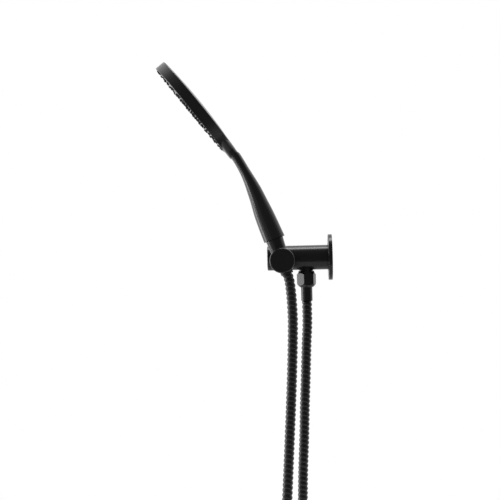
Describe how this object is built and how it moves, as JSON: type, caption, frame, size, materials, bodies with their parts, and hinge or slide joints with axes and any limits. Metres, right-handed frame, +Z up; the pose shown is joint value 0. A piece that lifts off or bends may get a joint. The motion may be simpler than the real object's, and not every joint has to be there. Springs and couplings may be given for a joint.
{
  "type": "hand_shower_set",
  "caption": "Black wall hand shower set with a round arm, a swivel holder, a large round handset and a hanging ribbed hose",
  "frame": {"origin": "centre of the mouth of the wall inlet, on the arm's axis and in the plane of the wall", "axes": "+X points from the arm into the wall, +Z is up, -Y points to the handset's side"},
  "size_m": [0.2416, 0.1641, 0.909],
  "materials": {
    "satin_black": "satin",
    "black_abs": "satin",
    "brass": "turned",
    "black_plastic": "moulded",
    "white_plastic": "moulded",
    "black_rubber": "moulded",
    "silicone": "soft",
    "stainless": "plain",
    "hose_cover": "satin"
  },
  "bodies": {
    "wall_arm": {"arm_body": "satin_black", "wall_flange": "satin_black", "wall_gasket": "black_rubber", "flange_o_ring": "black_rubber", "outlet_nipple": "brass", "valve_housing": "white_plastic", "valve_o_ring": "black_rubber", "valve_spring": "stainless", "outlet_washer": "black_rubber", "outlet_nut": "satin_black", "outlet_tail": "brass", "outlet_ferrule": "satin_black", "shower_hose": "hose_cover", "pivot_spindle": "brass", "spindle_o_ring": "black_rubber", "friction_ring": "black_plastic"},
    "holder_and_handset": {"swivel_holder": "satin_black", "cone_nut": "satin_black", "filter_washer": "black_rubber", "handset_connector": "brass", "connector_o_ring": "black_rubber", "handset_shell": "black_abs", "water_tube": "white_plastic", "chamber_plate": "black_plastic", "chamber_seal": "black_rubber", "nozzle_mat": "silicone", "face_plate": "black_abs", "cone_liner": "black_plastic", "lock_screw": "stainless"},
    "hose_end": {"cone_tail": "brass", "cone_ferrule": "stainless"},
    "poppet": {"valve_poppet": "black_plastic"}
  },
  "joints": [
    {"name": "holder_tilt", "type": "hinge", "parent": "wall_arm", "child": "holder_and_handset", "pos_m": [-0.0706, -0.047, -0.0045], "axis": [0, 1, 0], "range_deg": [-25, 20], "deforming": ["shower_hose"]},
    {"name": "hose_swivel", "type": "hinge", "parent": "holder_and_handset", "child": "hose_end", "pos_m": [-0.07451, -0.047, 0.00685], "axis": [-0.3256, 0, 0.9455], "continuous": true},
    {"name": "valve_slide", "type": "slide", "parent": "wall_arm", "child": "poppet", "axis": [0, 0, -1], "range_m": [0, 0.0025], "stiffness_N_per_m": 120, "springref_m": -0.001, "deforming": ["valve_spring"]}
  ]
}
